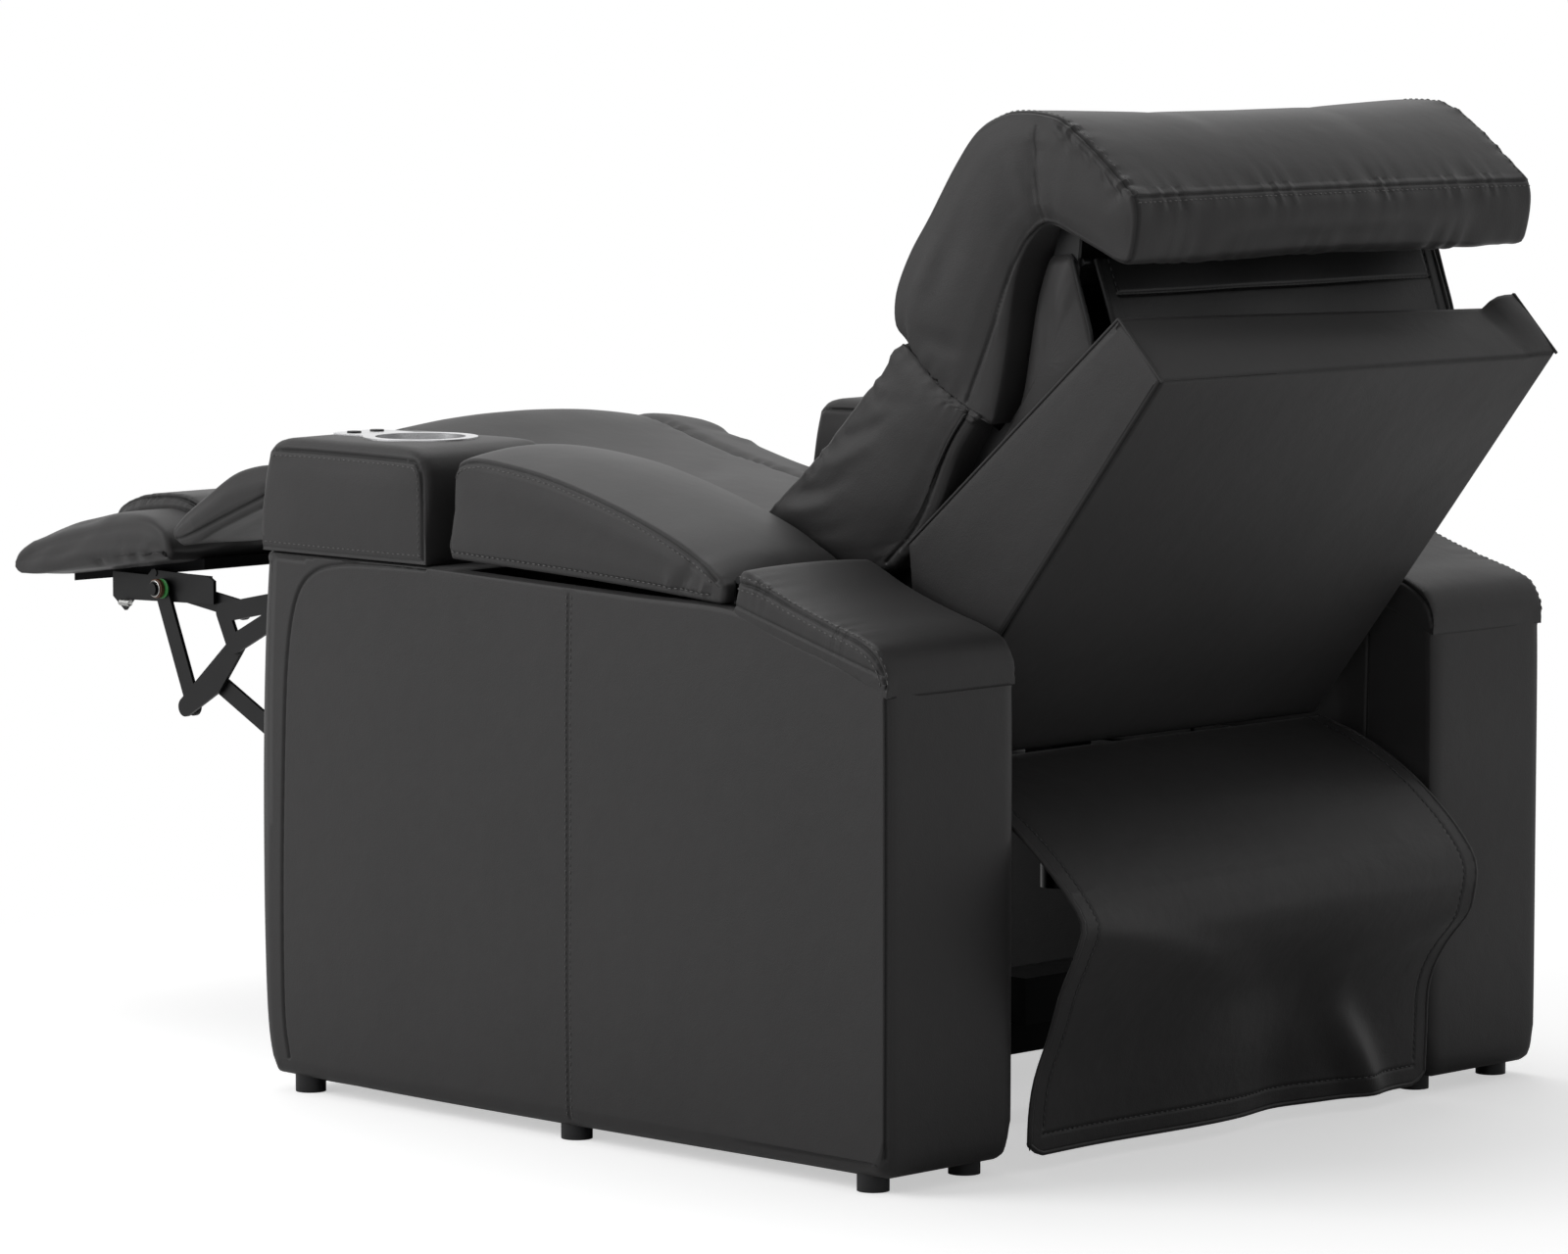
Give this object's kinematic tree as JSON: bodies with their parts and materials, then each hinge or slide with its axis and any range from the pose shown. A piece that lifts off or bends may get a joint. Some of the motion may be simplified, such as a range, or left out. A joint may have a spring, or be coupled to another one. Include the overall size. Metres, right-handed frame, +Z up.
{
  "type": "cinema recliner seat",
  "caption": "Leather home-cinema recliner with power recline, folding legrest, tilting headrest, lidded arm storage and cup holders",
  "frame": {"origin": "on the floor, midway between the two arms, a little in front of the back hinge", "axes": "+X to the sitter's left, -Y to the front, +Z up"},
  "size_m": [0.94, 1.631, 0.974],
  "materials": {
    "leather": "full-grain charcoal leather, semi-matt",
    "foam": "leather over foam, charcoal",
    "board": "raw plywood",
    "frame": "black powder coat",
    "bare": "zinc plated",
    "cup": "brushed",
    "plastic": "matt black moulded plastic",
    "nylon": "natural",
    "webbing": "woven elastic webbing",
    "case": "plywood box covered in charcoal leather"
  },
  "bodies": {
    "base": {"arm_box_left": "case", "arm_box_right": "case", "arm_front_block_left": "foam", "arm_front_block_right": "foam", "arm_rear_block_left": "foam", "arm_rear_block_right": "foam", "storage_liner_left": "plastic", "storage_liner_right": "plastic", "cup_holder_left": "cup", "cup_holder_right": "cup", "lid_hinge_fixed": "bare", "glides": "plastic", "base_rails": "frame", "base_side_plates": "frame", "glide_tracks": "frame", "power_supply": "plastic", "recline_actuator": "frame"},
    "left_lid": {"arm_lid_left": "foam", "lid_hinge_leaf_left": "bare"},
    "right_lid": {"arm_lid_right": "foam", "lid_hinge_leaf_right": "bare"},
    "button_inner_left": {"push_button_inner_left": "plastic"},
    "button_outer_left": {"push_button_outer_left": "plastic"},
    "button_inner_right": {"push_button_inner_right": "plastic"},
    "button_outer_right": {"push_button_outer_right": "plastic"},
    "seat": {"seat_side_plates": "frame", "seat_rails": "frame", "seat_webbing": "webbing", "seat_cushion": "foam", "recline_rod": "bare", "legrest_actuator": "frame"},
    "front_rollers": {"rollers_front": "nylon"},
    "rear_rollers": {"rollers_rear": "nylon"},
    "back": {"back_box": "case", "back_frame": "frame", "back_side_panels": "plastic", "back_webbing": "webbing", "neck_panel": "leather", "lumbar_cushion": "foam", "upper_cushion": "foam"},
    "headrest": {"headrest_cushion": "foam", "headrest_bracket": "frame"},
    "flap_top": {"flap_upper": "leather"},
    "flap_hem": {"flap_lower": "leather"},
    "main_link": {"link_main": "frame"},
    "rise_link": {"link_rise": "frame"},
    "drive_link": {"link_drive": "frame"},
    "arm_link": {"link_arm": "frame"},
    "tie_link": {"link_tie": "frame"},
    "torque": {"torque_tube": "frame"},
    "leg_rod": {"legrest_rod": "bare"},
    "footrest": {"footrest_rails": "frame", "footrest_board": "board", "footrest_pad": "foam", "footrest_bolster": "foam", "hook_spring": "bare"},
    "knee_bridge": {"knee_pad": "foam"}
  },
  "joints": [
    {"name": "seat_glide", "type": "slide", "parent": "base", "child": "seat", "axis": [0, 1, 0], "range_m": [0, 0.18]},
    {"name": "front_roller_turn", "type": "hinge", "parent": "seat", "child": "front_rollers", "pos_m": [0, -0.33, 0.332], "axis": [-1, 0, 0], "range_deg": [0, 882]},
    {"name": "rear_roller_turn", "type": "hinge", "parent": "seat", "child": "rear_rollers", "pos_m": [0, -0.1, 0.332], "axis": [-1, 0, 0], "range_deg": [0, 882]},
    {"name": "back_recline", "type": "hinge", "parent": "seat", "child": "back", "pos_m": [0, 0.085, 0.465], "axis": [1, 0, 0], "range_deg": [0, 25.5]},
    {"name": "headrest_tilt", "type": "hinge", "parent": "back", "child": "headrest", "pos_m": [0, 0.446, 0.866], "axis": [-1, 0, 0], "range_deg": [0, 26]},
    {"name": "flap_top_swing", "type": "hinge", "parent": "back", "child": "flap_top", "pos_m": [0, 0.289, 0.3655], "axis": [-1, 0, 0], "range_deg": [0, 70.5]},
    {"name": "flap_fold", "type": "hinge", "parent": "flap_top", "child": "flap_hem", "pos_m": [0, 0.49, 0.237], "axis": [1, 0, 0], "range_deg": [0, 30]},
    {"name": "legrest_fold", "type": "hinge", "parent": "seat", "child": "main_link", "pos_m": [0, -0.594, 0.46], "axis": [1, 0, 0], "range_deg": [0, 99]},
    {"name": "rise_turn", "type": "hinge", "parent": "main_link", "child": "rise_link", "pos_m": [0, -0.71, 0.402], "axis": [-1, 0, 0], "range_deg": [0, 51]},
    {"name": "drive_turn", "type": "hinge", "parent": "rise_link", "child": "drive_link", "pos_m": [0, -0.745, 0.358], "axis": [-1, 0, 0], "range_deg": [0, 48]},
    {"name": "arm_turn", "type": "hinge", "parent": "rise_link", "child": "arm_link", "pos_m": [0, -0.793, 0.33], "axis": [1, 0, 0], "range_deg": [0, 7.6]},
    {"name": "footrest_turn", "type": "hinge", "parent": "arm_link", "child": "footrest", "pos_m": [0, -0.843, 0.45], "axis": [1, 0, 0], "range_deg": [0, 28.8]},
    {"name": "tie_turn", "type": "hinge", "parent": "main_link", "child": "tie_link", "pos_m": [0, -0.726, 0.434], "axis": [-1, 0, 0], "range_deg": [0, 59.2]},
    {"name": "torque_turn", "type": "hinge", "parent": "seat", "child": "torque", "pos_m": [0, -0.4527, 0.3734], "axis": [1, 0, 0], "range_deg": [0, 90]},
    {"name": "leg_rod_slide", "type": "slide", "parent": "seat", "child": "leg_rod", "axis": [0, 1, 0], "range_m": [0, 0.0849]},
    {"name": "knee_fold", "type": "hinge", "parent": "seat", "child": "knee_bridge", "pos_m": [0, -0.6122, 0.565], "axis": [1, 0, 0], "range_deg": [0, 55]},
    {"name": "left_lid_open", "type": "hinge", "parent": "base", "child": "left_lid", "pos_m": [0.3855, 0.2225, 0.545], "axis": [-1, 0, 0], "range_deg": [0, 75]},
    {"name": "right_lid_open", "type": "hinge", "parent": "base", "child": "right_lid", "pos_m": [-0.3855, 0.2225, 0.545], "axis": [-1, 0, 0], "range_deg": [0, 75]},
    {"name": "left_inner_press", "type": "slide", "parent": "base", "child": "button_inner_left", "axis": [0, 0, -1], "range_m": [0, 0.0012], "stiffness_N_per_m": 500},
    {"name": "left_outer_press", "type": "slide", "parent": "base", "child": "button_outer_left", "axis": [0, 0, -1], "range_m": [0, 0.0012], "stiffness_N_per_m": 500},
    {"name": "right_inner_press", "type": "slide", "parent": "base", "child": "button_inner_right", "axis": [0, 0, -1], "range_m": [0, 0.0012], "stiffness_N_per_m": 500},
    {"name": "right_outer_press", "type": "slide", "parent": "base", "child": "button_outer_right", "axis": [0, 0, -1], "range_m": [0, 0.0012], "stiffness_N_per_m": 500}
  ],
  "couplings": [
    {"joint": "front_roller_turn", "follows": "seat_glide", "rad_per_m": 85.47},
    {"joint": "rear_roller_turn", "follows": "seat_glide", "rad_per_m": 85.47},
    {"joint": "back_recline", "follows": "seat_glide", "rad_per_m": 2.4725},
    {"joint": "flap_top_swing", "follows": "seat_glide", "rad_per_m": 6.835},
    {"joint": "flap_fold", "follows": "seat_glide", "rad_per_m": 2.908},
    {"joint": "rise_turn", "follows": "legrest_fold", "ratio": 0.51515},
    {"joint": "drive_turn", "follows": "legrest_fold", "ratio": 0.48484},
    {"joint": "arm_turn", "follows": "legrest_fold", "ratio": 0.07676},
    {"joint": "footrest_turn", "follows": "legrest_fold", "ratio": 0.2909},
    {"joint": "tie_turn", "follows": "legrest_fold", "ratio": 0.59797},
    {"joint": "torque_turn", "follows": "legrest_fold", "ratio": 0.90909},
    {"joint": "leg_rod_slide", "follows": "legrest_fold", "m_per_rad": 0.04911},
    {"joint": "knee_fold", "follows": "legrest_fold", "ratio": 0.55555}
  ]
}
